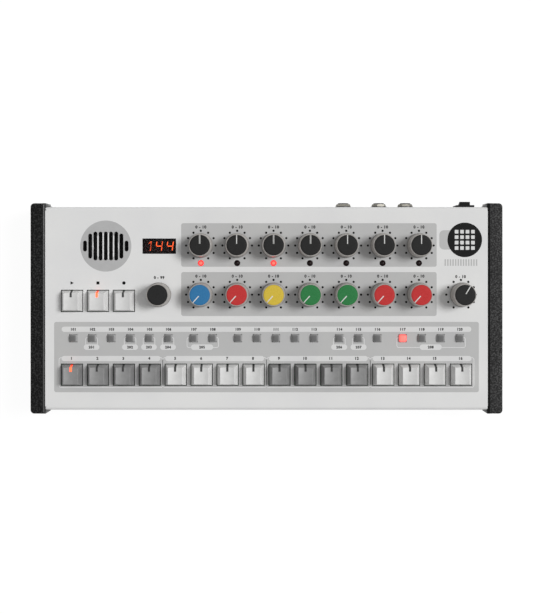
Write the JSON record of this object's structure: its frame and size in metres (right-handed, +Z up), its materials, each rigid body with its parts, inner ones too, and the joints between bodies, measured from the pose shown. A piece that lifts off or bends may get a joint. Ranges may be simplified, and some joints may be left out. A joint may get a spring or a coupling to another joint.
{
  "type": "drum machine",
  "caption": "Desktop drum machine: bent white case between black end cheeks, with step keys, coloured knobs, a red display, a speaker grille and rear sockets.",
  "frame": {"origin": "on the surface it stands on, under the middle of the case, which is within 1 mm of the middle of the bounding box", "axes": "+X along the case to the right as seen from the front, +Y to the rear, +Z up"},
  "size_m": [0.4168, 0.188, 0.0685],
  "materials": {
    "panel_paint": "fine powder coat, off-white",
    "cheek_plastic": "coarse speckled black texture",
    "rubber": "matt",
    "steel": "zinc plated",
    "smoked_pane": "smoked acrylic",
    "black_plastic": "satin",
    "lamp_red": "clear red epoxy",
    "speaker_black": "black frame with a paper cone",
    "board_green": "solder mask",
    "pot_metal": "plated",
    "nickel": "nickel plated",
    "key_light": "fine matt",
    "key_grey": "fine matt",
    "knob_black": "soft grey body with a black cap",
    "knob_blue": "soft grey body with a blue cap",
    "knob_red": "soft grey body with a red cap",
    "knob_yellow": "soft grey body with a yellow cap",
    "knob_green": "soft grey body with a green cap",
    "silicone": "smoky translucent silicone"
  },
  "bodies": {
    "case": {"top_panel": "panel_paint", "base_tray": "panel_paint", "left_cheek": "cheek_plastic", "right_cheek": "cheek_plastic", "rubber_feet": "rubber", "screws": "steel", "display_window": "smoked_pane", "display_module": "black_plastic", "level_lamps": "lamp_red", "loudspeaker": "speaker_black", "control_board": "board_green", "potentiometers": "pot_metal", "key_switches": "black_plastic", "jack_sockets": "black_plastic", "jack_nuts": "nickel", "midi_sockets": "black_plastic", "usb_port": "nickel", "power_inlet": "black_plastic", "rocker_housing": "black_plastic"},
    "play_key": {"play_key": "key_light"},
    "stop_key": {"stop_key": "key_light"},
    "record_key": {"record_key": "key_light"},
    "step_key_1": {"step_key_1": "key_grey"},
    "step_key_2": {"step_key_2": "key_grey"},
    "step_key_3": {"step_key_3": "key_grey"},
    "step_key_4": {"step_key_4": "key_grey"},
    "step_key_5": {"step_key_5": "key_light"},
    "step_key_6": {"step_key_6": "key_light"},
    "step_key_7": {"step_key_7": "key_light"},
    "step_key_8": {"step_key_8": "key_light"},
    "step_key_9": {"step_key_9": "key_grey"},
    "step_key_10": {"step_key_10": "key_grey"},
    "step_key_11": {"step_key_11": "key_grey"},
    "step_key_12": {"step_key_12": "key_grey"},
    "step_key_13": {"step_key_13": "key_light"},
    "step_key_14": {"step_key_14": "key_light"},
    "step_key_15": {"step_key_15": "key_light"},
    "step_key_16": {"step_key_16": "key_light"},
    "level_knob_1": {"level_knob_1": "knob_black"},
    "level_knob_2": {"level_knob_2": "knob_black"},
    "level_knob_3": {"level_knob_3": "knob_black"},
    "level_knob_4": {"level_knob_4": "knob_black"},
    "level_knob_5": {"level_knob_5": "knob_black"},
    "level_knob_6": {"level_knob_6": "knob_black"},
    "level_knob_7": {"level_knob_7": "knob_black"},
    "tone_knob_1": {"tone_knob_1": "knob_blue"},
    "tone_knob_2": {"tone_knob_2": "knob_red"},
    "tone_knob_3": {"tone_knob_3": "knob_yellow"},
    "tone_knob_4": {"tone_knob_4": "knob_green"},
    "tone_knob_5": {"tone_knob_5": "knob_green"},
    "tone_knob_6": {"tone_knob_6": "knob_red"},
    "tone_knob_7": {"tone_knob_7": "knob_red"},
    "volume_knob": {"volume_knob": "knob_black"},
    "data_knob": {"data_knob": "knob_black"},
    "function_keys_1": {"function_keys_1": "silicone"},
    "function_keys_2": {"function_keys_2": "silicone"},
    "function_keys_3": {"function_keys_3": "silicone"},
    "function_keys_4": {"function_keys_4": "silicone"},
    "function_keys_5": {"function_keys_5": "silicone"},
    "power_rocker": {"power_rocker": "black_plastic"}
  },
  "joints": [
    {"name": "play_key_press", "type": "slide", "parent": "case", "child": "play_key", "axis": [0, 0, -1], "range_m": [0, 0.0035], "stiffness_N_per_m": 60, "springref_m": -0.007},
    {"name": "stop_key_press", "type": "slide", "parent": "case", "child": "stop_key", "axis": [0, 0, -1], "range_m": [0, 0.0035], "stiffness_N_per_m": 60, "springref_m": -0.007},
    {"name": "record_key_press", "type": "slide", "parent": "case", "child": "record_key", "axis": [0, 0, -1], "range_m": [0, 0.0035], "stiffness_N_per_m": 60, "springref_m": -0.007},
    {"name": "step_key_1_press", "type": "slide", "parent": "case", "child": "step_key_1", "axis": [0, 0, -1], "range_m": [0, 0.0035], "stiffness_N_per_m": 60, "springref_m": -0.007},
    {"name": "step_key_2_press", "type": "slide", "parent": "case", "child": "step_key_2", "axis": [0, 0, -1], "range_m": [0, 0.0035], "stiffness_N_per_m": 60, "springref_m": -0.007},
    {"name": "step_key_3_press", "type": "slide", "parent": "case", "child": "step_key_3", "axis": [0, 0, -1], "range_m": [0, 0.0035], "stiffness_N_per_m": 60, "springref_m": -0.007},
    {"name": "step_key_4_press", "type": "slide", "parent": "case", "child": "step_key_4", "axis": [0, 0, -1], "range_m": [0, 0.0035], "stiffness_N_per_m": 60, "springref_m": -0.007},
    {"name": "step_key_5_press", "type": "slide", "parent": "case", "child": "step_key_5", "axis": [0, 0, -1], "range_m": [0, 0.0035], "stiffness_N_per_m": 60, "springref_m": -0.007},
    {"name": "step_key_6_press", "type": "slide", "parent": "case", "child": "step_key_6", "axis": [0, 0, -1], "range_m": [0, 0.0035], "stiffness_N_per_m": 60, "springref_m": -0.007},
    {"name": "step_key_7_press", "type": "slide", "parent": "case", "child": "step_key_7", "axis": [0, 0, -1], "range_m": [0, 0.0035], "stiffness_N_per_m": 60, "springref_m": -0.007},
    {"name": "step_key_8_press", "type": "slide", "parent": "case", "child": "step_key_8", "axis": [0, 0, -1], "range_m": [0, 0.0035], "stiffness_N_per_m": 60, "springref_m": -0.007},
    {"name": "step_key_9_press", "type": "slide", "parent": "case", "child": "step_key_9", "axis": [0, 0, -1], "range_m": [0, 0.0035], "stiffness_N_per_m": 60, "springref_m": -0.007},
    {"name": "step_key_10_press", "type": "slide", "parent": "case", "child": "step_key_10", "axis": [0, 0, -1], "range_m": [0, 0.0035], "stiffness_N_per_m": 60, "springref_m": -0.007},
    {"name": "step_key_11_press", "type": "slide", "parent": "case", "child": "step_key_11", "axis": [0, 0, -1], "range_m": [0, 0.0035], "stiffness_N_per_m": 60, "springref_m": -0.007},
    {"name": "step_key_12_press", "type": "slide", "parent": "case", "child": "step_key_12", "axis": [0, 0, -1], "range_m": [0, 0.0035], "stiffness_N_per_m": 60, "springref_m": -0.007},
    {"name": "step_key_13_press", "type": "slide", "parent": "case", "child": "step_key_13", "axis": [0, 0, -1], "range_m": [0, 0.0035], "stiffness_N_per_m": 60, "springref_m": -0.007},
    {"name": "step_key_14_press", "type": "slide", "parent": "case", "child": "step_key_14", "axis": [0, 0, -1], "range_m": [0, 0.0035], "stiffness_N_per_m": 60, "springref_m": -0.007},
    {"name": "step_key_15_press", "type": "slide", "parent": "case", "child": "step_key_15", "axis": [0, 0, -1], "range_m": [0, 0.0035], "stiffness_N_per_m": 60, "springref_m": -0.007},
    {"name": "step_key_16_press", "type": "slide", "parent": "case", "child": "step_key_16", "axis": [0, 0, -1], "range_m": [0, 0.0035], "stiffness_N_per_m": 60, "springref_m": -0.007},
    {"name": "function_keys_1_press", "type": "slide", "parent": "case", "child": "function_keys_1", "axis": [0, 0, -1], "range_m": [0, 0.0006], "stiffness_N_per_m": 600, "springref_m": -0.0015},
    {"name": "function_keys_2_press", "type": "slide", "parent": "case", "child": "function_keys_2", "axis": [0, 0, -1], "range_m": [0, 0.0006], "stiffness_N_per_m": 600, "springref_m": -0.0015},
    {"name": "function_keys_3_press", "type": "slide", "parent": "case", "child": "function_keys_3", "axis": [0, 0, -1], "range_m": [0, 0.0006], "stiffness_N_per_m": 600, "springref_m": -0.0015},
    {"name": "function_keys_4_press", "type": "slide", "parent": "case", "child": "function_keys_4", "axis": [0, 0, -1], "range_m": [0, 0.0006], "stiffness_N_per_m": 600, "springref_m": -0.0015},
    {"name": "function_keys_5_press", "type": "slide", "parent": "case", "child": "function_keys_5", "axis": [0, 0, -1], "range_m": [0, 0.0006], "stiffness_N_per_m": 600, "springref_m": -0.0015},
    {"name": "level_knob_1_turn", "type": "hinge", "parent": "case", "child": "level_knob_1", "pos_m": [-0.0579, 0.0555, 0.06], "axis": [0, 0, -1], "range_deg": [-138.4, 138.4]},
    {"name": "level_knob_2_turn", "type": "hinge", "parent": "case", "child": "level_knob_2", "pos_m": [-0.02585, 0.0555, 0.06], "axis": [0, 0, -1], "range_deg": [-138.4, 138.4]},
    {"name": "level_knob_3_turn", "type": "hinge", "parent": "case", "child": "level_knob_3", "pos_m": [0.0062, 0.0555, 0.06], "axis": [0, 0, -1], "range_deg": [-138.4, 138.4]},
    {"name": "level_knob_4_turn", "type": "hinge", "parent": "case", "child": "level_knob_4", "pos_m": [0.03825, 0.0555, 0.06], "axis": [0, 0, -1], "range_deg": [-138.4, 138.4]},
    {"name": "level_knob_5_turn", "type": "hinge", "parent": "case", "child": "level_knob_5", "pos_m": [0.0703, 0.0555, 0.06], "axis": [0, 0, -1], "range_deg": [-138.4, 138.4]},
    {"name": "level_knob_6_turn", "type": "hinge", "parent": "case", "child": "level_knob_6", "pos_m": [0.10235, 0.0555, 0.06], "axis": [0, 0, -1], "range_deg": [-138.4, 138.4]},
    {"name": "level_knob_7_turn", "type": "hinge", "parent": "case", "child": "level_knob_7", "pos_m": [0.1344, 0.0555, 0.06], "axis": [0, 0, -1], "range_deg": [-138.4, 138.4]},
    {"name": "tone_knob_1_turn", "type": "hinge", "parent": "case", "child": "tone_knob_1", "pos_m": [-0.0579, 0.0122, 0.06], "axis": [0, 0, -1], "range_deg": [0, 276.8]},
    {"name": "tone_knob_2_turn", "type": "hinge", "parent": "case", "child": "tone_knob_2", "pos_m": [-0.02585, 0.0122, 0.06], "axis": [0, 0, -1], "range_deg": [0, 276.8]},
    {"name": "tone_knob_3_turn", "type": "hinge", "parent": "case", "child": "tone_knob_3", "pos_m": [0.0062, 0.0122, 0.06], "axis": [0, 0, -1], "range_deg": [0, 276.8]},
    {"name": "tone_knob_4_turn", "type": "hinge", "parent": "case", "child": "tone_knob_4", "pos_m": [0.03825, 0.0122, 0.06], "axis": [0, 0, -1], "range_deg": [0, 276.8]},
    {"name": "tone_knob_5_turn", "type": "hinge", "parent": "case", "child": "tone_knob_5", "pos_m": [0.0703, 0.0122, 0.06], "axis": [0, 0, -1], "range_deg": [0, 276.8]},
    {"name": "tone_knob_6_turn", "type": "hinge", "parent": "case", "child": "tone_knob_6", "pos_m": [0.10235, 0.0122, 0.06], "axis": [0, 0, -1], "range_deg": [0, 276.8]},
    {"name": "tone_knob_7_turn", "type": "hinge", "parent": "case", "child": "tone_knob_7", "pos_m": [0.1344, 0.0122, 0.06], "axis": [0, 0, -1], "range_deg": [0, 276.8]},
    {"name": "volume_knob_turn", "type": "hinge", "parent": "case", "child": "volume_knob", "pos_m": [0.17235, 0.0122, 0.06], "axis": [0, 0, -1], "range_deg": [-169.2, 107.6]},
    {"name": "data_knob_turn", "type": "hinge", "parent": "case", "child": "data_knob", "pos_m": [-0.0947, 0.0122, 0.06], "axis": [0, 0, -1], "continuous": true},
    {"name": "power_rocker_tip", "type": "hinge", "parent": "case", "child": "power_rocker", "pos_m": [0.1775, 0.08935, 0.026], "axis": [1, 0, 0], "range_deg": [0, 24]}
  ]
}
